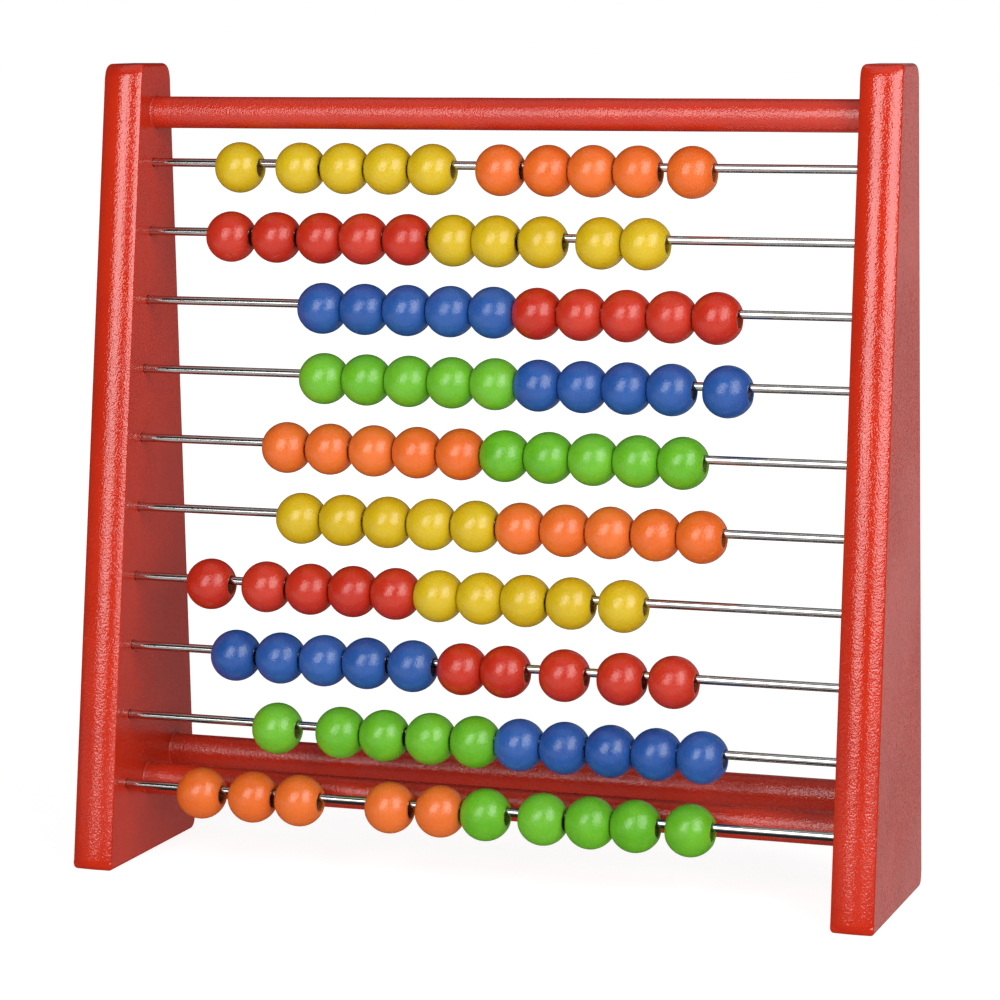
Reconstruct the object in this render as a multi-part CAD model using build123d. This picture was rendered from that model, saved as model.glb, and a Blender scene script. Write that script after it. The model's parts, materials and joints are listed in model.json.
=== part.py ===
from build123d import *
import math
import os

# ---------------------------------------------------------------------------
# Counting frame with ten wires of ten wooden beads.
# Frame: +X along the wires (to the right when the beads face the user),
# +Y towards the back, +Z up.  The origin lies on the surface that the frame
# stands on, midway between the outer faces of the two side boards and midway
# between the front and the rear of their feet.  Millimetres.
# ---------------------------------------------------------------------------

# side boards
INNER_GAP = 275.0        # clear distance between the two side boards
BOARD_T = 15.5           # thickness of a side board
HEIGHT = 299.6           # height of a side board
FOOT_FRONT_Y = -40.8     # front of the board at the floor
FOOT_REAR_Y = 40.9       # rear of the board at the floor
TOP_FRONT_Y = -3.1       # front of the board at the top
TOP_REAR_Y = 26.5        # rear of the board at the top
CORNER_R = 6.0           # rounded corners of the board outline
FOOT_FRONT_R = 3.6       # rounded corner at the front of the foot
CROWN_R = 12.0           # radius of the crown along the front and the rear edge
CROWN_EASE = 0.8         # small radius where the crown meets the flat sides
END_R = 1.6              # small radius round the flat top end and the flat foot
SKIN = 0.05              # the blank stands this much proud before it is crowned

# rails (round dowels glued into blind holes)
RAIL_D = 12.0
RAIL_SEAT = 10.0         # how far a rail enters each board
RAIL_END_CHAMFER = 1.0
TOP_RAIL_YZ = (11.2, 281.2)
FRONT_RAIL_YZ = (-3.5, 28.5)
REAR_RAIL_YZ = (20.0, 35.0)

# wires (polished steel rods pressed into blind holes)
ROD_D = 3.2
ROD_SEAT = 9.0           # how far a rod enters each board
ROD_HOLE_DEPTH = 9.5     # blind hole, a little deeper than the rod
RAIL_HOLE_DEPTH = 10.5
ROD_END_CHAMFER = 0.3
ROD_ROWS = 10
ROD_FIRST_YZ = (8.6, 262.4)    # top row
ROD_LAST_YZ = (-22.9, 30.4)    # bottom row

# beads (turned wooden balls, drilled through and faced at both ends)
BEAD_D = 19.1
BEAD_L = 16.7            # length along the hole, between the two faced ends
BEAD_HOLE_D = 6.6
BEAD_HANG = 1.6          # a bead hangs on its rod, so its axis lies this far below
BEAD_END_R = 0.9         # radius between the ball and its faced end
BEAD_HOLE_CHAMFER = 0.35

# bead centres along X, row by row from the top, left to right
BEAD_X = [
    (-102.00, -77.50, -59.75, -42.45, -25.10, 1.40, 19.80, 36.80, 53.90, 74.20),
    (-104.40, -86.00, -68.00, -51.10, -33.80, -15.80, 0.95, 18.90, 40.90, 57.80),
    (-66.35, -49.55, -32.75, -15.90, 0.90, 17.70, 34.60, 51.55, 68.55, 85.55),
    (-64.50, -47.70, -30.95, -14.15, 2.60, 19.35, 36.15, 52.90, 69.70, 90.50),
    (-78.20, -60.95, -43.60, -26.55, -9.45, 7.50, 24.35, 41.25, 58.05, 74.95),
    (-71.30, -54.25, -36.90, -19.75, -2.65, 14.65, 31.70, 48.75, 65.90, 82.95),
    (-106.50, -84.10, -66.50, -49.50, -32.70, -15.90, 0.85, 17.70, 35.10, 54.90),
    (-95.20, -77.20, -59.80, -42.80, -24.80, -5.60, 11.15, 33.60, 55.40, 74.70),
    (-77.30, -52.00, -34.80, -16.70, 0.65, 17.65, 34.75, 52.15, 69.25, 86.30),
    (-106.70, -86.00, -67.30, -31.50, -11.80, 5.70, 27.70, 45.60, 62.55, 82.90),
]

# beads that slide together, row by row: (name, first bead, last bead)
GROUPS = [
    [("yellow_bead_r01_1", 1, 1), ("yellow_beads_r01_2to5", 2, 5),
     ("orange_bead_r01_6", 6, 6), ("orange_beads_r01_7to9", 7, 9), ("orange_bead_r01_10", 10, 10)],
    [("red_bead_r02_1", 1, 1), ("red_bead_r02_2", 2, 2), ("red_beads_r02_3to5", 3, 5),
     ("yellow_beads_r02_6to7", 6, 7), ("yellow_bead_r02_8", 8, 8), ("yellow_beads_r02_9to10", 9, 10)],
    [("blue_beads_r03_1to5", 1, 5), ("red_beads_r03_6to10", 6, 10)],
    [("green_beads_r04_1to5", 1, 5), ("blue_beads_r04_6to9", 6, 9), ("blue_bead_r04_10", 10, 10)],
    [("orange_beads_r05_1to5", 1, 5), ("green_beads_r05_6to10", 6, 10)],
    [("yellow_beads_r06_1to5", 1, 5), ("orange_beads_r06_6to10", 6, 10)],
    [("red_bead_r07_1", 1, 1), ("red_beads_r07_2to5", 2, 5),
     ("yellow_beads_r07_6to8", 6, 8), ("yellow_bead_r07_9", 9, 9), ("yellow_bead_r07_10", 10, 10)],
    [("blue_bead_r08_1", 1, 1), ("blue_beads_r08_2to4", 2, 4), ("blue_bead_r08_5", 5, 5),
     ("red_beads_r08_6to7", 6, 7), ("red_bead_r08_8", 8, 8), ("red_bead_r08_9", 9, 9), ("red_bead_r08_10", 10, 10)],
    [("green_bead_r09_1", 1, 1), ("green_beads_r09_2to3", 2, 3), ("green_beads_r09_4to5", 4, 5),
     ("blue_beads_r09_6to10", 6, 10)],
    [("orange_bead_r10_1", 1, 1), ("orange_bead_r10_2", 2, 2), ("orange_bead_r10_3", 3, 3),
     ("orange_bead_r10_4", 4, 4), ("orange_bead_r10_5", 5, 5),
     ("green_bead_r10_6", 6, 6), ("green_beads_r10_7to9", 7, 9), ("green_bead_r10_10", 10, 10)],
]

os.makedirs("parts", exist_ok=True)


def rod_yz(row):
    """Axis of rod number row, counted from 0 at the top."""
    k = row / (ROD_ROWS - 1)
    return (ROD_FIRST_YZ[0] + (ROD_LAST_YZ[0] - ROD_FIRST_YZ[0]) * k,
            ROD_FIRST_YZ[1] + (ROD_LAST_YZ[1] - ROD_FIRST_YZ[1]) * k)


# --- side board ------------------------------------------------------------
def outline():
    """Board outline in the YZ plane with rounded corners, as a closed wire."""
    corners = [
        (FOOT_FRONT_Y - SKIN, 0.0, FOOT_FRONT_R),
        (FOOT_REAR_Y + SKIN, 0.0, CORNER_R),
        (TOP_REAR_Y + SKIN, HEIGHT, CORNER_R),
        (TOP_FRONT_Y - SKIN, HEIGHT, CORNER_R),
    ]
    n = len(corners)
    arcs = []
    for i in range(n):
        py, pz, r = corners[i]
        ay, az, _ = corners[i - 1]
        by, bz, _ = corners[(i + 1) % n]
        u = Vector(0, ay - py, az - pz).normalized()
        v = Vector(0, by - py, bz - pz).normalized()
        half = math.acos(max(-1.0, min(1.0, u.dot(v)))) / 2
        bis = (u + v).normalized()
        p = Vector(0, py, pz)
        centre = p + bis * (r / math.sin(half))
        arcs.append((p + u * (r / math.tan(half)), centre - bis * r, p + v * (r / math.tan(half))))
    edges = []
    for i in range(n):
        start, mid, end = arcs[i]
        edges.append(ThreePointArc(start, mid, end))
        edges.append(Line(end, arcs[(i + 1) % n][0]))
    return Wire(edges)


def crown_cutter(foot_y, top_y, outward_y):
    """What a crowned edge leaves away: everything outside an arc along one long edge."""
    foot = Vector(0, foot_y, 0)
    along = (Vector(0, top_y, HEIGHT) - foot).normalized()
    across = Vector(1, 0, 0)
    outward = across.cross(along)
    if outward.Y * outward_y < 0:
        outward = outward * -1
    base = foot - along * 30
    half = BOARD_T / 2 + 2
    drop = CROWN_R - math.sqrt(CROWN_R ** 2 - half ** 2)
    a = base - across * half - outward * drop
    b = base + across * half - outward * drop
    c = base + across * half + outward * 4
    d = base - across * half + outward * 4
    section = make_face(Wire([ThreePointArc(a, base, b), Line(b, c), Line(c, d), Line(d, a)]))
    return extrude(section, amount=HEIGHT + 70, dir=tuple(along))


def side_board_blank():
    """Board centred on x = 0 with its shaped edges, before drilling."""
    blank = extrude(make_face(outline()), amount=BOARD_T / 2, dir=(1, 0, 0), both=True)
    rim = [e for e in blank.edges()
           if abs(abs((e @ 0).X) - BOARD_T / 2) < 1e-4 and abs(abs((e @ 1).X) - BOARD_T / 2) < 1e-4
           and abs((e @ 0).X - (e @ 1).X) < 1e-4]
    blank = fillet(rim, END_R)
    blank = blank - crown_cutter(FOOT_FRONT_Y, TOP_FRONT_Y, -1)
    blank = blank - crown_cutter(FOOT_REAR_Y, TOP_REAR_Y, 1)
    return blank


def bore(x_in, direction, yz, d, depth):
    """Blind hole from the board's inner face."""
    plane = Plane(origin=(x_in, yz[0], yz[1]), z_dir=(direction, 0, 0), x_dir=(0, 1, 0))
    return extrude(plane * Circle(d / 2), amount=depth) + extrude(plane * Circle(d / 2), amount=-1.0)


def side_board(side):
    """side -1 is the left board, +1 the right one."""
    blank = side_board_blank()
    arris = [e for e in blank.edges()
             if e.length > HEIGHT / 2 and abs(abs((e @ 0.5).X) - BOARD_T / 2) < 0.05]
    blank = fillet(arris, CROWN_EASE)
    xc = side * (INNER_GAP / 2 + BOARD_T / 2)
    board = Pos(xc, 0, 0) * blank
    x_in = side * INNER_GAP / 2
    for yz in (TOP_RAIL_YZ, FRONT_RAIL_YZ, REAR_RAIL_YZ):
        board -= bore(x_in, side, yz, RAIL_D, RAIL_HOLE_DEPTH)
    for row in range(ROD_ROWS):
        board -= bore(x_in, side, rod_yz(row), ROD_D, ROD_HOLE_DEPTH)
    return board


# --- round bars --------------------------------------------------------------
def bar(yz, d, seat, chamfer_len):
    half = INNER_GAP / 2 + seat
    plane = Plane(origin=(-half, yz[0], yz[1]), z_dir=(1, 0, 0), x_dir=(0, 1, 0))
    solid = extrude(plane * Circle(d / 2), amount=2 * half)
    return chamfer(solid.edges().filter_by(GeomType.CIRCLE), chamfer_len)


# --- bead ----------------------------------------------------------------------
def bead():
    """Ball turned about X, faced at both ends and drilled, centred on the origin."""
    ball = Sphere(BEAD_D / 2)
    ball = ball & Box(BEAD_L, 3 * BEAD_D, 3 * BEAD_D)
    ends = [e for e in ball.edges().filter_by(GeomType.CIRCLE)
            if abs(abs(e.center().X) - BEAD_L / 2) < 1e-3 and e.radius < BEAD_D / 2 - 0.5]
    ball = fillet(ends, BEAD_END_R)
    hole = Rot(0, 90, 0) * Cylinder(BEAD_HOLE_D / 2, 2 * BEAD_D)
    ball = ball - hole
    rims = [e for e in ball.edges().filter_by(GeomType.CIRCLE)
            if abs(e.radius - BEAD_HOLE_D / 2) < 1e-3]
    return chamfer(rims, BEAD_HOLE_CHAMFER)


def as_compound(solids, name):
    shape = Compound(children=[s for s in solids]) if len(solids) > 1 else solids[0]
    shape.label = name
    return shape


def only_solid(shape):
    found = shape.solids()
    assert len(found) == 1, (len(found), "solids where one was expected")
    return found[0]


def write(shape, name):
    shape.label = name
    export_step(shape, f"parts/{name}.step")


left = only_solid(side_board(-1))
right = only_solid(side_board(1))
write(left, "left_side_board")
write(right, "right_side_board")
write(only_solid(bar(TOP_RAIL_YZ, RAIL_D, RAIL_SEAT, RAIL_END_CHAMFER)), "top_rail")
write(only_solid(bar(FRONT_RAIL_YZ, RAIL_D, RAIL_SEAT, RAIL_END_CHAMFER)), "front_bottom_rail")
write(only_solid(bar(REAR_RAIL_YZ, RAIL_D, RAIL_SEAT, RAIL_END_CHAMFER)), "rear_bottom_rail")
for row in range(ROD_ROWS):
    write(only_solid(bar(rod_yz(row), ROD_D, ROD_SEAT, ROD_END_CHAMFER)), f"rod_row_{row + 1:02d}")

master = only_solid(bead())
for row, groups in enumerate(GROUPS):
    y, z = rod_yz(row)
    z -= BEAD_HANG
    xs = BEAD_X[row]
    for i in range(len(xs) - 1):
        assert xs[i + 1] - xs[i] >= BEAD_L + 0.03, (row + 1, i + 1, xs[i + 1] - xs[i])
    for name, first, last in groups:
        solids = [only_solid(master.moved(Location((xs[i - 1], y, z)))) for i in range(first, last + 1)]
        write(as_compound(solids, name), name)

print("board volume", round(left.volume), "bead volume", round(master.volume, 1))
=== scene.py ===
import json
import math
import random

import bmesh
import bpy
import numpy as np
from mathutils import Matrix, Vector


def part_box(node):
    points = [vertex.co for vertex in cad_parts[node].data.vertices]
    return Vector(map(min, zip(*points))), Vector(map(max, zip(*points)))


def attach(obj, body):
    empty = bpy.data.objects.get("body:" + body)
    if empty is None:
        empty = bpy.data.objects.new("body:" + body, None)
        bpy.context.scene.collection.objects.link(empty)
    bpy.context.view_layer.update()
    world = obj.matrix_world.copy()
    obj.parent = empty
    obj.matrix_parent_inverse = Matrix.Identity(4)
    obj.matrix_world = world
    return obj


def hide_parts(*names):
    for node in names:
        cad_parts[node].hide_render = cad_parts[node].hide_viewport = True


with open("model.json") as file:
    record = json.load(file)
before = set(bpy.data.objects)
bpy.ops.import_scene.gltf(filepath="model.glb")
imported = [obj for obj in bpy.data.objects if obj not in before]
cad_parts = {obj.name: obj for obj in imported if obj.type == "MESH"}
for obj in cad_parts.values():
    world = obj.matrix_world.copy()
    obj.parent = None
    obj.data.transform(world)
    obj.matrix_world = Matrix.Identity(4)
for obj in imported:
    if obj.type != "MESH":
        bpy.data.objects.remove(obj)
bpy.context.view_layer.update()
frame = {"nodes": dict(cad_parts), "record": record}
scene = bpy.context.scene
MM = 0.001

# ---------------------------------------------------------------------------
# Camera: 124 mm lens, a little to the right of the frame and just above it
# ---------------------------------------------------------------------------
TH, PH, RO = math.radians(19.514), math.radians(5.678), math.radians(-0.257)
r0 = Vector((math.cos(TH), math.sin(TH), 0))
d0 = Vector((-math.sin(TH) * math.cos(PH), math.cos(TH) * math.cos(PH), -math.sin(PH)))
u0 = r0.cross(d0)
cam_r = r0 * math.cos(RO) + u0 * math.sin(RO)
cam_u = u0 * math.cos(RO) - r0 * math.sin(RO)
cam_at = Vector((0, 0, 0.1482)) + cam_r * 0.003447 + cam_u * 0.042981 - d0 * 1.264337
cam_data = bpy.data.cameras.new("camera")
cam_data.sensor_width = 36.0
cam_data.lens = 124.483
cam_data.shift_x = 0.0
cam_data.shift_y = -0.13817
cam_data.clip_start, cam_data.clip_end = 0.01, 60.0
camera = bpy.data.objects.new("camera", cam_data)
rot = Matrix((cam_r, cam_u, -d0)).transposed()
camera.matrix_world = Matrix.Translation(cam_at) @ rot.to_4x4()
scene.collection.objects.link(camera)
scene.camera = camera
scene.view_settings.view_transform = "Standard"
scene.view_settings.look = "None"
scene.view_settings.exposure = 0.0


# ---------------------------------------------------------------------------
# Small helpers
# ---------------------------------------------------------------------------
def mesh_object(name, verts, quads, smooth=True):
    """An object from an (n, 3) array in metres and an (m, 4) array of corners."""
    me = bpy.data.meshes.new(name)
    verts = np.asarray(verts, np.float32)
    quads = np.asarray(quads, np.int32)
    me.vertices.add(len(verts))
    me.vertices.foreach_set("co", verts.ravel())
    me.loops.add(quads.size)
    me.loops.foreach_set("vertex_index", quads.ravel())
    me.polygons.add(len(quads))
    me.polygons.foreach_set("loop_start", np.arange(0, quads.size, 4, dtype=np.int32))
    me.polygons.foreach_set("loop_total", np.full(len(quads), 4, np.int32))
    me.update(calc_edges=True)
    me.validate()
    me.polygons.foreach_set("use_smooth", [smooth] * len(me.polygons))
    ob = bpy.data.objects.new(name, me)
    scene.collection.objects.link(ob)
    return ob


def point_attribute(me, name, values):
    a = me.attributes.get(name) or me.attributes.new(name, "FLOAT", "POINT")
    a.data.foreach_set("value", np.asarray(values, np.float32))


def waves(p, seed, wavelength, n=7):
    """Smooth, repeatable unevenness of about -1..1 at points p, in metres."""
    g = np.random.default_rng(seed)
    total = np.zeros(len(p))
    for _ in range(n):
        k = g.normal(size=3)
        k = k / np.linalg.norm(k) * (2 * math.pi / wavelength) * g.uniform(0.6, 1.5)
        total += np.sin(p @ k + g.uniform(0, 2 * math.pi))
    return total / math.sqrt(n) / 1.2


def revolve(profile, segments, closed, phase=0.0):
    """Turns (x, r) points about the X axis. closed joins the last ring to the first."""
    prof = np.asarray(profile, float)
    ang = phase + np.arange(segments) * 2 * math.pi / segments
    v = np.empty((len(prof), segments, 3))
    v[:, :, 0] = prof[:, None, 0]
    v[:, :, 1] = prof[:, None, 1] * np.cos(ang)[None]
    v[:, :, 2] = prof[:, None, 1] * np.sin(ang)[None]
    n = len(prof)
    i = np.arange(n if closed else n - 1)
    j = np.arange(segments)
    a = (i[:, None] * segments + j[None]).ravel()
    b = (i[:, None] * segments + (j[None] + 1) % segments).ravel()
    i2 = (i + 1) % n
    c = (i2[:, None] * segments + (j[None] + 1) % segments).ravel()
    d = (i2[:, None] * segments + j[None]).ravel()
    return v.reshape(-1, 3), np.stack([a, d, c, b], 1)


# ---------------------------------------------------------------------------
# Materials
# ---------------------------------------------------------------------------
class Nodes:
    """Short names for building a node tree."""

    def __init__(self, name):
        self.mat = bpy.data.materials.new(name)
        self.mat.use_nodes = True
        self.nt = self.mat.node_tree
        self.nt.nodes.clear()
        self.out = self.nt.nodes.new("ShaderNodeOutputMaterial")
        self.co = self.nt.nodes.new("ShaderNodeTexCoord").outputs["Object"]

    def node(self, kind, **props):
        n = self.nt.nodes.new(kind)
        for k, v in props.items():
            setattr(n, k, v)
        return n

    def link(self, a, b):
        self.nt.links.new(a, b)

    def put(self, socket, value):
        if isinstance(value, bpy.types.NodeSocket):
            self.link(value, socket)
        else:
            socket.default_value = value

    def noise(self, scale, detail=2.0, rough=0.5, vector=None, distortion=0.0):
        n = self.node("ShaderNodeTexNoise")
        self.put(n.inputs["Vector"], vector or self.co)
        n.inputs["Scale"].default_value = scale
        n.inputs["Detail"].default_value = detail
        n.inputs["Roughness"].default_value = rough
        n.inputs["Distortion"].default_value = distortion
        return n.outputs["Fac"]

    def voronoi(self, scale, vector=None, feature="F1", smooth=None):
        n = self.node("ShaderNodeTexVoronoi", feature=feature)
        self.put(n.inputs["Vector"], vector or self.co)
        n.inputs["Scale"].default_value = scale
        if smooth is not None:
            n.inputs["Smoothness"].default_value = smooth
        return n.outputs["Distance"]

    def ramp(self, value, lo, hi, a=0.0, b=1.0, smooth=True):
        n = self.node("ShaderNodeMapRange", interpolation_type="SMOOTHSTEP" if smooth else "LINEAR")
        self.put(n.inputs["Value"], value)
        for k, x in (("From Min", lo), ("From Max", hi), ("To Min", a), ("To Max", b)):
            n.inputs[k].default_value = x
        return n.outputs["Result"]

    def math(self, op, a, b=0.0, c=None):
        n = self.node("ShaderNodeMath", operation=op)
        self.put(n.inputs[0], a)
        self.put(n.inputs[1], b)
        if c is not None:
            self.put(n.inputs[2], c)
        return n.outputs[0]

    def mix(self, fac, a, b, blend="MIX"):
        n = self.node("ShaderNodeMix", data_type="RGBA", blend_type=blend)
        self.put(n.inputs[0], fac)
        self.put(n.inputs[6], (*a, 1.0) if isinstance(a, tuple) and len(a) == 3 else a)
        self.put(n.inputs[7], (*b, 1.0) if isinstance(b, tuple) and len(b) == 3 else b)
        return n.outputs[2]

    def bump(self, height, distance, normal=None, strength=1.0):
        n = self.node("ShaderNodeBump")
        self.put(n.inputs["Height"], height)
        n.inputs["Distance"].default_value = distance
        n.inputs["Strength"].default_value = strength
        if normal is not None:
            self.link(normal, n.inputs["Normal"])
        return n.outputs["Normal"]

    def stretched(self, sx, sy, sz):
        n = self.node("ShaderNodeMapping")
        self.link(self.co, n.inputs["Vector"])
        n.inputs["Scale"].default_value = (sx, sy, sz)
        return n.outputs["Vector"]

    def attribute(self, name):
        return self.node("ShaderNodeAttribute", attribute_name=name).outputs["Fac"]

    def principled(self, **values):
        n = self.node("ShaderNodeBsdfPrincipled")
        for k, v in values.items():
            self.put(n.inputs[k.replace("_", " ")], v)
        self.link(n.outputs["BSDF"], self.out.inputs["Surface"])
        return n


def red_lacquer(name, rough_lo, rough_hi, grit):
    """Sprayed gloss lacquer over sanded beech: orange peel, slow waviness, specks and a little rubbing."""
    m = Nodes(name)
    slow = m.noise(22, 3.0, 0.55)
    cloud = m.noise(75, 3.0, 0.6)
    colour = m.mix(m.ramp(slow, 0.3, 0.7), (0.3828, 0.0161, 0.0039), (0.4350, 0.0209, 0.0052))
    colour = m.mix(m.ramp(cloud, 0.35, 0.75, 0.0, 0.35), colour, (0.3567, 0.0135, 0.0039))
    # grain of the wood, only just telegraphing through the paint, runs up the boards
    grain = m.noise(1.0, 4.0, 0.6, vector=m.stretched(520, 520, 26), distortion=0.6)
    colour = m.mix(m.ramp(grain, 0.55, 0.8, 0.0, 0.10), colour, (0.31, 0.010, 0.004))
    # dust specks caught in the lacquer
    speck = m.voronoi(145)
    dust = m.ramp(speck, 0.045, 0.075, 1.0, 0.0)
    colour = m.mix(m.math("MULTIPLY", dust, m.ramp(m.noise(40, 1.0), 0.55, 0.62, 0.0, 0.55)), colour, (0.56, 0.10, 0.07))
    # orange peel: small bumps, stronger in some places than in others
    patch = m.ramp(m.noise(14, 2.0, 0.5), 0.35, 0.65, 0.55, 1.0)
    peel = m.noise(820, 2.0, 0.45)
    fine = m.math("MULTIPLY", m.noise(1500, 1.0, 0.5), patch)
    wave = m.noise(130, 2.0, 0.5)
    n = m.bump(wave, 0.00010)
    n = m.bump(grain, 0.000006, n)
    n = m.bump(peel, 0.000085, n)
    n = m.bump(fine, grit, n)
    n = m.bump(dust, 0.000020, n)
    rough = m.ramp(cloud, 0.3, 0.75, rough_lo, rough_hi)
    m.principled(Base_Color=colour, Roughness=rough, IOR=1.6, Normal=n)
    return m.mat


def bead_paint(name, base, deep, light):
    """Tumbled enamel on a turned wooden bead, with a painted highlight on the rounded rim of its hole; the drilled bore
    behind its rim is bare, stained wood.
    """
    m = Nodes(name)
    tone, bore, rim = m.attribute("tone"), m.attribute("bore"), m.attribute("rim")
    slow = m.noise(120, 3.0, 0.55)
    colour = m.mix(m.ramp(slow, 0.3, 0.7), base, deep)
    colour = m.mix(m.math("MULTIPLY", tone, 0.55), colour, light)
    mottle = m.noise(420, 3.0, 0.6)
    colour = m.mix(m.ramp(mottle, 0.5, 0.8, 0.0, 0.16), colour, light)
    # painted highlight: the rounded rim of the hole is painted paler, standing in for the light that rim reflects
    colour = m.mix(m.math("MULTIPLY", rim, 0.45), colour, light)
    # bare wood inside the hole, with drill rings and splashes of paint
    rings = m.noise(1.0, 3.0, 0.6, vector=m.stretched(2600, 420, 420))
    wood = m.mix(m.ramp(rings, 0.3, 0.7), (0.120, 0.058, 0.030), (0.300, 0.165, 0.085))
    splash = m.ramp(m.noise(900, 3.0, 0.6), 0.46, 0.60, 0.0, 0.45)
    wood = m.mix(splash, wood, base)
    colour = m.mix(bore, colour, wood)
    peel = m.noise(1250, 2.0, 0.5)
    fine = m.noise(2600, 2.0, 0.5)
    wave = m.noise(230, 1.0, 0.5)
    n = m.bump(wave, 0.000060)
    n = m.bump(peel, 0.000105, n)
    n = m.bump(fine, 0.000012, n)
    n = m.bump(m.math("MULTIPLY", rings, bore), 0.00012, n)
    rough = m.ramp(m.noise(300, 2.0), 0.3, 0.75, 0.21, 0.30)
    rough = m.math("ADD", rough, m.math("MULTIPLY", bore, 0.45))
    m.principled(Base_Color=colour, Roughness=rough, IOR=1.5, Normal=n)
    return m.mat


def polished_steel():
    """Bright drawn wire: fine lines along its length, faint handling marks, a touch of tarnish."""
    m = Nodes("polished_steel")
    draw = m.noise(1.0, 4.0, 0.65, vector=m.stretched(14, 4200, 4200))
    smudge = m.noise(70, 3.0, 0.6)
    colour = m.mix(m.ramp(smudge, 0.35, 0.75), (0.66, 0.65, 0.63), (0.52, 0.51, 0.49))
    colour = m.mix(m.ramp(draw, 0.55, 0.8, 0.0, 0.30), colour, (0.36, 0.34, 0.32))
    rough = m.ramp(smudge, 0.3, 0.8, 0.06, 0.15)
    rough = m.math("ADD", rough, m.ramp(draw, 0.45, 0.8, 0.0, 0.10))
    n = m.bump(draw, 0.0000035)
    n = m.bump(m.noise(260, 2.0), 0.000010, n)
    m.principled(Base_Color=colour, Metallic=1.0, Roughness=rough, Normal=n)
    return m.mat


RED = red_lacquer("red_lacquer", 0.08, 0.13, 0.000150)
RED_RAIL = red_lacquer("red_lacquer_on_dowel", 0.22, 0.32, 0.000260)
STEEL = polished_steel()
PAINT = {
    "yellow_bead": bead_paint("yellow_enamel", (0.4655, 0.3202, 0.0039), (0.4306, 0.2871, 0.0035), (0.5090, 0.3654, 0.0104)),
    "orange_bead": bead_paint("orange_enamel", (0.5655, 0.1044, 0.0113), (0.5307, 0.0853, 0.0083), (0.6090, 0.1392, 0.0244)),
    "red_bead": bead_paint("red_enamel", (0.3915, 0.0174, 0.0048), (0.3523, 0.0130, 0.0039), (0.4524, 0.0331, 0.0139)),
    "blue_bead": bead_paint("blue_enamel", (0.0122, 0.0635, 0.2523), (0.0091, 0.0487, 0.2088), (0.0261, 0.0914, 0.3088)),
    "green_bead": bead_paint("green_enamel", (0.0992, 0.3376, 0.0104), (0.0748, 0.2915, 0.0078), (0.1392, 0.3959, 0.0261)),
}

# ---------------------------------------------------------------------------
# Frame dimensions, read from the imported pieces
# ---------------------------------------------------------------------------
lb_lo, lb_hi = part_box("left_side_board")
rb_lo, rb_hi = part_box("right_side_board")
GAP_L, GAP_R = lb_hi.x, rb_lo.x                 # inner faces of the boards
BOARD_T = lb_hi.x - lb_lo.x
HEIGHT = lb_hi.z


def axis_of(node):
    """(y, z, radius, lowest x, highest x) of a bar along X."""
    lo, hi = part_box(node)
    return (lo.y + hi.y) / 2, (lo.z + hi.z) / 2, (hi.z - lo.z) / 2, lo.x, hi.x


RAILS = ["top_rail", "front_bottom_rail", "rear_bottom_rail"]
RODS = [f"rod_row_{i:02d}" for i in range(1, 11)]

# ---------------------------------------------------------------------------
# Side boards: crowned front and rear edges, flat top and foot, eased corners, drilled blind holes
# ---------------------------------------------------------------------------
FOOT_F, FOOT_R, TOP_F, TOP_R = -40.8, 40.9, -3.1, 26.5   # straight edges, produced to z = 0 and to the top
CROWN, EASE = 12.0, 0.8
TOP_ROUND, FOOT_ROUND = 2.0, 1.3                # small round-overs of the flat ends
T2 = BOARD_T / MM / 2
SAG = CROWN - math.sqrt(CROWN ** 2 - T2 ** 2)
H = HEIGHT / MM


def edge_y(z, foot, top):
    return foot + (top - foot) * z / H


def outline_points(arc_steps, side_steps, end_steps):
    """Closed outline, split at the middle of each corner arc, as
    (y, z, outward y, outward z, how crowned 0..1, round-over of the flat end).
    Four runs in order: bottom (front to rear), rear (up), top (rear to front), front (down)."""
    corners = [
        (FOOT_F, 0.0, 3.6, FOOT_ROUND),
        (FOOT_R, 0.0, 6.0, FOOT_ROUND),
        (TOP_R, H, 6.0, TOP_ROUND),
        (TOP_F, H, 6.0, TOP_ROUND),
    ]
    arcs = []
    for i in range(4):
        p = np.array(corners[i][:2])
        a = np.array(corners[i - 1][:2]) - p
        b = np.array(corners[(i + 1) % 4][:2]) - p
        a, b = a / np.linalg.norm(a), b / np.linalg.norm(b)
        r = corners[i][2]
        half = math.acos(float(a @ b)) / 2
        bis = (a + b) / np.linalg.norm(a + b)
        c = p + bis * r / math.sin(half)
        arcs.append((c, r, p + a * r / math.tan(half), p + b * r / math.tan(half)))

    def crowned(side_share):
        t = min(1.0, max(0.0, side_share / 0.8))
        return t * t * (3 - 2 * t)

    def arc_point(i, f, end_run):
        """Point at share f of corner i's arc; end_run, which would say whether the run it belongs to is a flat end, is
        not used.
        """
        c, r, fa, fb = arcs[i]
        na, nb = (fa - c) / r, (fb - c) / r
        aa, ab = math.atan2(na[1], na[0]), math.atan2(nb[1], nb[0])
        t = aa + ((ab - aa + math.pi) % (2 * math.pi) - math.pi) * f
        n = np.array((math.cos(t), math.sin(t)))
        share = 1 - f if i % 2 == 0 else f        # corners 0 and 2 run from a long edge to a flat end
        return (*(c + n * r), *n, crowned(share), corners[i][3])

    runs = []
    for i in range(4):
        j = (i + 1) % 4
        c1, r1, _, start = arcs[i]
        end = arcs[j][2]
        nn = (start - c1) / r1
        steps = end_steps if i % 2 == 0 else side_steps
        run = [arc_point(i, 0.5 + 0.5 * k / arc_steps, i % 2 == 0) for k in range(arc_steps)]
        for k in range(steps):
            run.append((*(start + (end - start) * k / steps), *nn, float(i % 2), corners[i][3]))
        run += [arc_point(j, 0.5 * k / arc_steps, i % 2 == 0) for k in range(arc_steps)]
        runs.append(run)
    return runs


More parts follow.
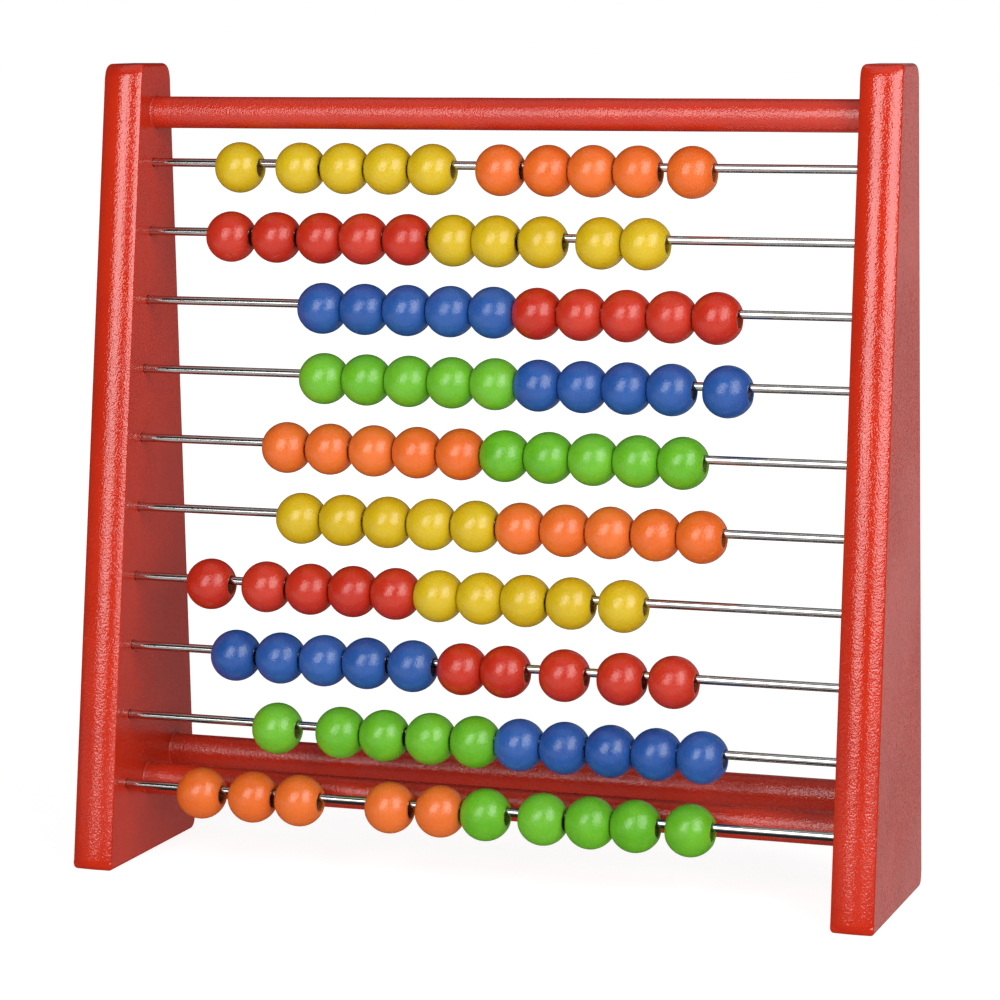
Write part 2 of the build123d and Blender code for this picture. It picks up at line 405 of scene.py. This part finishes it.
def crown_section():
    """(w across the thickness, inset from the outline) from one flat side over the crown to its middle."""
    wc = T2 - EASE
    hc = (SAG - CROWN) + math.sqrt((CROWN - EASE) ** 2 - wc ** 2)
    top = math.atan2(hc - (SAG - CROWN), wc)       # direction of the join seen from the crown's centre
    pts = []
    for k in range(6):                             # eased arris
        t = top * k / 6
        pts.append((wc + EASE * math.cos(t), SAG - hc - EASE * math.sin(t)))
    a1 = math.pi / 2 - top
    for k in range(13):
        t = a1 * (1 - k / 12)
        pts.append((CROWN * math.sin(t), CROWN - CROWN * math.cos(t)))
    return pts


def end_section(r):
    """The same number of points over a flat end with a small round-over."""
    pts = []
    for k in range(9):
        t = math.pi / 2 * k / 8
        pts.append((T2 - r + r * math.cos(t), r - r * math.sin(t)))
    for k in range(1, 11):
        pts.append(((T2 - r) * (1 - k / 10), 0.0))
    return pts


def board_mesh(side):
    runs = outline_points(8, 84, 16)
    outline = [p for run in runs for p in run]
    nv, nu = len(runs[1]), len(runs[0])
    crown = crown_section()
    ends = {r: end_section(r) for r in (TOP_ROUND, FOOT_ROUND)}
    section = list(range(2 * len(crown) - 1))
    loops = len(outline)
    verts = []
    for s in section:
        m, sign = (s, 1) if s < len(crown) else (len(section) - 1 - s, -1)
        for (y, z, ny, nz, b, r) in outline:
            w = crown[m][0] * b + ends[r][m][0] * (1 - b)
            inset = crown[m][1] * b + ends[r][m][1] * (1 - b)
            verts.append((sign * w, y - ny * inset, z - nz * inset))
    verts = np.array(verts)
    quads = []
    for s in range(len(section) - 1):
        for i in range(loops):
            j = (i + 1) % loops
            quads.append((s * loops + i, (s + 1) * loops + i, (s + 1) * loops + j, s * loops + j))
    # flat faces: a grid stretched between the four runs of the outermost loops
    all_verts = [verts]
    count = len(verts)
    for which, row in ((0, 0), (1, len(section) - 1)):
        ring = verts[row * loops:(row + 1) * loops]
        bottom = list(range(0, nu)) + [nu]
        rear = list(range(nu, nu + nv)) + [nu + nv]
        top = list(range(nu + nv, 2 * nu + nv)) + [2 * nu + nv]
        front = list(range(2 * nu + nv, 2 * nu + 2 * nv)) + [0]
        top = top[::-1]
        front = front[::-1]
        index = -np.ones((nu + 1, nv + 1), int)
        base = row * loops
        for i in range(nu + 1):
            index[i, 0] = base + bottom[i]
            index[i, nv] = base + top[i]
        for j in range(nv + 1):
            index[0, j] = base + front[j]
            index[nu, j] = base + rear[j]
        B, T = ring[bottom], ring[top]
        F, R = ring[front], ring[rear]
        inner = []
        for i in range(1, nu):
            u = np.linalg.norm(B[i] - B[0]) / np.linalg.norm(B[nu] - B[0])
            for j in range(1, nv):
                v = (F[j][2] - F[0][2]) / (F[nv][2] - F[0][2])
                p = ((1 - v) * B[i] + v * T[i] + (1 - u) * F[j] + u * R[j]
                     - ((1 - u) * (1 - v) * B[0] + u * (1 - v) * B[nu] + (1 - u) * v * T[0] + u * v * T[nu]))
                p[0] = ring[0][0]
                index[i, j] = count + len(inner)
                inner.append(p)
        count += len(inner)
        all_verts.append(np.array(inner))
        for i in range(nu):
            for j in range(nv):
                q = (index[i, j], index[i + 1, j], index[i + 1, j + 1], index[i, j + 1])
                quads.append(q if which == 0 else q[::-1])
    v = np.concatenate(all_verts)
    v[:, 0] += side * ((GAP_R - GAP_L) / MM / 2 + T2)
    return v * MM, np.array(quads)


def side_board(side, node):
    v, q = board_mesh(side)
    ob = mesh_object(node + "_lacquered", v, q)
    bm = bmesh.new()
    bm.from_mesh(ob.data)
    bmesh.ops.recalc_face_normals(bm, faces=bm.faces)
    bm.to_mesh(ob.data)
    bm.free()
    # cutter: every blind hole with a small break at its mouth
    face = GAP_L if side < 0 else GAP_R
    cv, cq, ct = [], [], 0
    cut = bmesh.new()
    for name in RAILS + RODS:
        y, z, r, x0, x1 = axis_of(name)
        depth = 0.0105 if name in RAILS else 0.0095
        ease = 0.00015 if name in RAILS else 0.00022
        clear = 0.0 if name in RAILS else 0.00010
        prof = [(-1.0 * MM, r + clear + ease + 1.0 * MM), (0.0, r + clear + ease), (ease, r + clear),
                (depth * 0.5, r + clear), (depth, r + clear)]
        n = 64 if name in RAILS else 40
        rings = []
        for (dx, rr) in prof:
            rings.append([cut.verts.new((face + side * dx, y + rr * math.cos(2 * math.pi * k / n),
                                         z + rr * math.sin(2 * math.pi * k / n))) for k in range(n)])
        for a, b in zip(rings, rings[1:]):
            for k in range(n):
                cut.faces.new((a[k], a[(k + 1) % n], b[(k + 1) % n], b[k]))
        cut.faces.new(rings[0])
        cut.faces.new(rings[-1][::-1])
    bmesh.ops.recalc_face_normals(cut, faces=cut.faces)
    cme = bpy.data.meshes.new("cutter")
    cut.to_mesh(cme)
    cut.free()
    cutter = bpy.data.objects.new("cutter", cme)
    scene.collection.objects.link(cutter)
    mod = ob.modifiers.new("holes", "BOOLEAN")
    mod.operation, mod.solver, mod.object = "DIFFERENCE", "EXACT", cutter
    dg = bpy.context.evaluated_depsgraph_get()
    done = bpy.data.meshes.new_from_object(ob.evaluated_get(dg), depsgraph=dg)
    ob.modifiers.remove(mod)
    bpy.data.objects.remove(cutter)
    ob.data = done
    done.polygons.foreach_set("use_smooth", [True] * len(done.polygons))
    done.set_sharp_from_angle(angle=math.radians(32))
    done.materials.clear()
    done.materials.append(RED)
    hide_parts(node)
    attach(ob, "frame")
    return ob


side_board(-1, "left_side_board")
side_board(1, "right_side_board")


# ---------------------------------------------------------------------------
# Rails: turned dowels with lacquer drawn up into a small fillet at each board
# ---------------------------------------------------------------------------
def rail(node, seed):
    y, z, r, x0, x1 = axis_of(node)
    ch = 0.001
    xs = []
    n_mid = 150
    fil = 0.0007                                   # reach of the lacquer fillet
    prof = [(x0, r - ch), (x0 + ch, r), (GAP_L - 0.0004, r), (GAP_L + 0.00001, r)]
    for k in range(6):
        t = k / 5 * math.pi / 2
        prof.append((GAP_L + fil * (1 - math.cos(t)) + 0.00002, r + fil * 0.8 * (1 - math.sin(t))))
    for k in range(1, n_mid):
        prof.append((GAP_L + fil * 1.2 + (GAP_R - GAP_L - 2.4 * fil) * k / n_mid, r))
    for k in range(6):
        t = (1 - k / 5) * math.pi / 2
        prof.append((GAP_R - fil * (1 - math.cos(t)) - 0.00002, r + fil * 0.8 * (1 - math.sin(t))))
    prof += [(GAP_R - 0.00001, r), (GAP_R + 0.0004, r), (x1 - ch, r), (x1, r - ch)]
    seg = 72
    v, q = revolve(prof, seg, False)
    # close the ends with a ring and a small pole fan of quads
    v = list(v)
    q = list(map(tuple, q))
    for ring, x in ((0, x0), (len(prof) - 1, x1)):
        prev = [ring * seg + k for k in range(seg)]
        for scale in (0.6, 0.25):
            cur = []
            for k in range(seg):
                a = 2 * math.pi * k / seg
                cur.append(len(v))
                v.append(np.array((x, (r - ch) * scale * math.cos(a), (r - ch) * scale * math.sin(a))))
            for k in range(seg):
                f = (prev[k], prev[(k + 1) % seg], cur[(k + 1) % seg], cur[k])
                q.append(f if ring == 0 else f[::-1])
            prev = cur
        c = len(v)
        v.append(np.array((x, 0.0, 0.0)))
        for k in range(0, seg, 2):
            f = (prev[k], prev[(k + 1) % seg], prev[(k + 2) % seg], c)
            q.append(f if ring == 0 else f[::-1])
    v = np.array(v)
    inside = np.clip((np.minimum(v[:, 0] - GAP_L, GAP_R - v[:, 0]) - 0.0012) / 0.004, 0, 1)
    rr = np.hypot(v[:, 1], v[:, 2])
    ok = rr > 1e-6
    # hand-sanded dowel: a few hundredths of a millimetre out of true, never fatter than its size
    off = -0.00003 + 0.00003 * waves(v, seed, 0.035)
    scale = np.ones(len(v))
    scale[ok] = 1 + np.minimum(off[ok], 0) * inside[ok] / rr[ok]
    v[:, 1] *= scale
    v[:, 2] *= scale
    v[:, 1] += y
    v[:, 2] += z
    ob = mesh_object(node + "_lacquered", v, q)
    ob.data.set_sharp_from_angle(angle=math.radians(50))
    ob.data.materials.append(RED_RAIL)
    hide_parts(node)
    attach(ob, "frame")
    return ob


for k, name in enumerate(RAILS):
    rail(name, 40 + k)


# ---------------------------------------------------------------------------
# Rods
# ---------------------------------------------------------------------------
def rod(node, seed):
    y, z, r, x0, x1 = axis_of(node)
    ch = 0.0003
    n_mid = 90
    prof = [(x0, r - ch), (x0 + ch * 0.5, r - ch * 0.35), (x0 + ch, r)]
    for k in range(1, n_mid):
        prof.append((x0 + ch + (x1 - x0 - 2 * ch) * k / n_mid, r))
    prof += [(x1 - ch, r), (x1 - ch * 0.5, r - ch * 0.35), (x1, r - ch)]
    seg = 40
    v, q = revolve(prof, seg, False)
    v = list(v)
    q = list(map(tuple, q))
    for ring, x in ((0, x0), (len(prof) - 1, x1)):
        prev = [ring * seg + k for k in range(seg)]
        c = len(v)
        v.append(np.array((x, 0.0, 0.0)))
        for k in range(0, seg, 2):
            f = (prev[k], prev[(k + 1) % seg], prev[(k + 2) % seg], c)
            q.append(f if ring == 0 else f[::-1])
    v = np.array(v)
    # drawn wire is never dead straight: a few hundredths of a millimetre between its seats
    t = np.clip((v[:, 0] - GAP_L) / (GAP_R - GAP_L), 0, 1)
    g = np.random.default_rng(seed)
    v[:, 1] += y + np.sin(math.pi * t) * g.uniform(-4e-5, 4e-5) + np.sin(3 * math.pi * t) * g.uniform(-1e-5, 1e-5)
    v[:, 2] += z - np.sin(math.pi * t) * g.uniform(1e-5, 4e-5) + np.sin(2 * math.pi * t) * g.uniform(-1e-5, 1e-5)
    ob = mesh_object(node + "_drawn", v, q)
    ob.data.set_sharp_from_angle(angle=math.radians(40))
    ob.data.materials.append(STEEL)
    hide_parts(node)
    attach(ob, "frame")
    return ob


for k, name in enumerate(RODS):
    rod(name, 70 + k)


# ---------------------------------------------------------------------------
# Beads
# ---------------------------------------------------------------------------
def bead_centres(node):
    """Centre of each bead in a node, from the loose parts of its CAD mesh, left to right, with its size."""
    me = frame["nodes"][node].data
    co = np.empty(len(me.vertices) * 3, np.float32)
    me.vertices.foreach_get("co", co)
    co = co.reshape(-1, 3).astype(float)
    me.calc_loop_triangles()
    tri = np.empty(len(me.loop_triangles) * 3, np.int32)
    me.loop_triangles.foreach_get("vertices", tri)
    key = np.round(co / 2e-6).astype(np.int64)
    _, same = np.unique(key, axis=0, return_inverse=True)
    same = same.ravel()
    tri = same[tri].reshape(-1, 3)
    label = np.arange(same.max() + 1)
    while True:
        low = label[tri].min(1)
        new = label.copy()
        for c in range(3):
            np.minimum.at(new, tri[:, c], low)
        new = new[new]
        if (new == label).all():
            break
        label = new
    found = []
    for part in np.unique(label[same]):
        p = co[label[same] == part]
        found.append(((p.min(0) + p.max(0)) / 2, p.max(0) - p.min(0)))
    return sorted(found, key=lambda f: f[0][0])


def bead_profile(R, half, hole, fillet, rim):
    """Closed (x, r) profile of a turned, faced and drilled ball, and each point's place: 0 outside, 1 bore, and its
    share of the painted highlight on the rim.
    """
    rc = math.sqrt((R - fillet) ** 2 - (half - fillet) ** 2)
    join = math.atan2(rc, half - fillet)             # angle from +x at which the ball meets the fillet
    right = []                                       # from the equator to the middle of the bore
    n = 15
    for k in range(n + 1):
        t = math.pi / 2 - (math.pi / 2 - join) * k / n
        right.append((R * math.cos(t), R * math.sin(t), 0.0, 0.0))
    for k in range(1, 5):
        t = join * (1 - k / 4)
        right.append((half - fillet + fillet * math.cos(t), rc + fillet * math.sin(t), 0.0, 0.35 * k / 4))
    for k in range(1, 6):
        t = math.pi / 2 * k / 5
        right.append((half - rim + rim * math.cos(t), hole + rim - rim * math.sin(t), 0.0, 1.0 - 0.5 * k / 5))
    for x, b in ((half - rim - 0.35 * MM, 0.25), (half - rim - 0.8 * MM, 0.8), (half - rim - 1.4 * MM, 1.0),
                 (half * 0.5, 1.0)):
        right.append((x, hole, b, 0.3 if b < 0.5 else 0.0))
    left = [(-x, r, b, e) for x, r, b, e in right[1:]]
    # bore from right to left, then the left half back to the equator
    return np.array(right + [(0.0, hole, 1.0, 0.0)] + left[::-1])


def bead_node(node, slot, body):
    g = random.Random(sum(ord(c) * (i + 7) for i, c in enumerate(node)))
    vs, qs, tones, bores, rim_highlights, count = [], [], [], [], [], 0
    seg = 64
    for centre, size in bead_centres(node):
        R = size[2] / 2 * g.uniform(0.992, 0.9995)
        half = size[0] / 2 - g.uniform(0.0, 0.00004)
        prof = bead_profile(R, half, 0.00330, g.uniform(0.00075, 0.0011), g.uniform(0.00030, 0.00052))
        v, q = revolve(prof[:, :2], seg, True, phase=g.uniform(0, 1))
        outside = np.repeat(prof[:, 2] < 0.05, seg)
        rr = np.hypot(v[:, 1], v[:, 2])
        # turned and tumbled by the thousand: slightly out of round, always inside its size
        lump = (waves(v, g.randrange(10 ** 6), 0.011, 6) - 1.2) * 0.000016
        face = np.clip((half - np.abs(v[:, 0])) / 0.0012, 0, 1)
        s = 1 + np.where(outside, np.minimum(lump, 0) * face / np.maximum(rr, 1e-5), 0)
        v[:, 1] *= s
        v[:, 2] *= s
        v += np.array(centre)
        vs.append(v)
        qs.append(q + count)
        count += len(v)
        tones.append(np.full(len(v), g.uniform(0.0, 1.0)))
        bores.append(np.repeat(prof[:, 2], seg))
        rim_highlights.append(np.repeat(prof[:, 3], seg))
    ob = mesh_object(node + "_turned", np.concatenate(vs), np.concatenate(qs))
    point_attribute(ob.data, "tone", np.concatenate(tones))
    point_attribute(ob.data, "bore", np.concatenate(bores))
    # rim: how much painted highlight each point gets round the hole
    point_attribute(ob.data, "rim", np.concatenate(rim_highlights))
    ob.data.materials.append(PAINT[slot])
    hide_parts(node)
    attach(ob, body)
    return ob


body_of_node = {n: b for b, members in frame["record"]["behaviour"]["bodies"].items() for n in members}
for node in sorted(frame["nodes"]):
    if "_bead" in node:
        bead_node(node, node.split("_")[0] + "_bead", body_of_node[node])

# ---------------------------------------------------------------------------
# Floor, studio light
# ---------------------------------------------------------------------------
def floor_material():
    m = Nodes("studio_floor")
    geo = m.node("ShaderNodeNewGeometry")
    length = m.node("ShaderNodeVectorMath", operation="LENGTH")
    m.link(geo.outputs["Position"], length.inputs[0])
    glow = m.ramp(length.outputs["Value"], 0.22, 0.9, 0.87, 1.05)
    bsdf = m.node("ShaderNodeBsdfPrincipled")
    bsdf.inputs["Base Color"].default_value = (0.30, 0.30, 0.30, 1)
    bsdf.inputs["Roughness"].default_value = 0.75
    bsdf.inputs["Specular IOR Level"].default_value = 0.1
    bsdf.inputs["Emission Color"].default_value = (1, 1, 1, 1)
    m.link(glow, bsdf.inputs["Emission Strength"])
    n = m.bump(m.noise(900, 2.0), 0.00001)
    m.link(n, bsdf.inputs["Normal"])
    m.link(bsdf.outputs["BSDF"], m.out.inputs["Surface"])
    return m.mat


def plane(name, x0, x1, y0, y1, z, mat):
    me = bpy.data.meshes.new(name)
    me.from_pydata([(x0, y0, z), (x1, y0, z), (x1, y1, z), (x0, y1, z)], [], [(0, 1, 2, 3)])
    ob = bpy.data.objects.new(name, me)
    scene.collection.objects.link(ob)
    me.materials.append(mat)
    return ob


floor = plane("studio_floor", -14, 14, -14, 14, -0.0002, floor_material())
floor.visible_glossy = False                       # what the gloss shows is set by the pale card


def pale_card(name, corners, strength):
    """A pale card that only shows in reflections, as a photographer places one to shape a gloss."""
    m = Nodes(name)
    e = m.node("ShaderNodeEmission")
    e.inputs["Color"].default_value = (1, 1, 1, 1)
    e.inputs["Strength"].default_value = strength
    m.link(e.outputs["Emission"], m.out.inputs["Surface"])
    me = bpy.data.meshes.new(name)
    me.from_pydata(corners, [], [(0, 1, 2, 3)])
    ob = bpy.data.objects.new(name, me)
    scene.collection.objects.link(ob)
    me.materials.append(m.mat)
    for k in ("visible_camera", "visible_diffuse", "visible_shadow", "visible_transmission", "visible_volume_scatter"):
        setattr(ob, k, False)
    return ob


pale_card("card_right", [(0.19, 0.40, -0.25), (0.34, 0.40, -0.25), (0.34, 0.40, 0.45), (0.19, 0.40, 0.45)], 0.46)
pale_card("card_between", [(-0.03, 0.41, -0.25), (0.13, 0.41, -0.25), (0.13, 0.41, 0.45), (-0.03, 0.41, 0.45)], 0.27)
pale_card("card_in_front", [(-0.9, -0.9, 0.0004), (0.9, -0.9, 0.0004), (0.9, -0.10, 0.0004), (-0.9, -0.10, 0.0004)], 0.55)


def softbox(name, azimuth, elevation, distance, width, height, radiance, roll=0.0, target=(0, 0, 0.15)):
    """A rectangular softbox aimed at the frame. Azimuth 0 stands in front, positive to the right."""
    a, e = math.radians(azimuth), math.radians(elevation)
    back = Vector((math.sin(a) * math.cos(e), -math.cos(a) * math.cos(e), math.sin(e)))
    data = bpy.data.lights.new(name, "AREA")
    data.shape = "RECTANGLE"
    data.size, data.size_y = width, height
    data.energy = radiance * math.pi * width * height
    ob = bpy.data.objects.new(name, data)
    q = (-back).to_track_quat("-Z", "Y").to_matrix() @ Matrix.Rotation(math.radians(roll), 3, "Z")
    ob.matrix_world = Matrix.Translation(Vector(target) + back * distance) @ q.to_4x4()
    scene.collection.objects.link(ob)
    ob.visible_camera = False
    return ob


def leaning(name, low, high, radiance, distance=1.25, strips=7):
    """A softbox that leans to one side, as a stack of strips between (azimuth, elevation, width) at its
    lower and at its upper end, in degrees, seen from the frame."""
    step = (high[1] - low[1]) / strips
    for k in range(strips):
        t = (k + 0.5) / strips
        az, el, wide = (low[i] + (high[i] - low[i]) * t for i in range(3))
        softbox(f"{name}_{k + 1}", az, el, distance, 2 * distance * math.tan(math.radians(wide / 2)),
                2 * distance * math.tan(math.radians(step / 2)), radiance)


leaning("softbox_left", (-16, 0, 30), (-1, 42, 28), 5.2)
leaning("softbox_right", (45, 0, 34), (62, 48, 34), 5.2)
softbox("overhead", 0, 89, 1.9, 2.2, 2.0, 0.45)

world = bpy.data.worlds.new("studio")
world.use_nodes = True
wt = world.node_tree
wt.nodes.clear()
wout = wt.nodes.new("ShaderNodeOutputWorld")
bg = wt.nodes.new("ShaderNodeBackground")
path = wt.nodes.new("ShaderNodeLightPath")
m1 = wt.nodes.new("ShaderNodeMapRange")
m1.inputs["To Min"].default_value = 0.12
m1.inputs["To Max"].default_value = 0.03
wt.links.new(path.outputs["Is Glossy Ray"], m1.inputs["Value"])
m2 = wt.nodes.new("ShaderNodeMath")
m2.operation = "MAXIMUM"
wt.links.new(m1.outputs["Result"], m2.inputs[0])
wt.links.new(path.outputs["Is Camera Ray"], m2.inputs[1])
wt.links.new(m2.outputs[0], bg.inputs["Strength"])
bg.inputs["Color"].default_value = (1, 1, 1, 1)
wt.links.new(bg.outputs[0], wout.inputs["Surface"])
scene.world = world

# ---------------------------------------------------------------------------
bpy.context.view_layer.update()
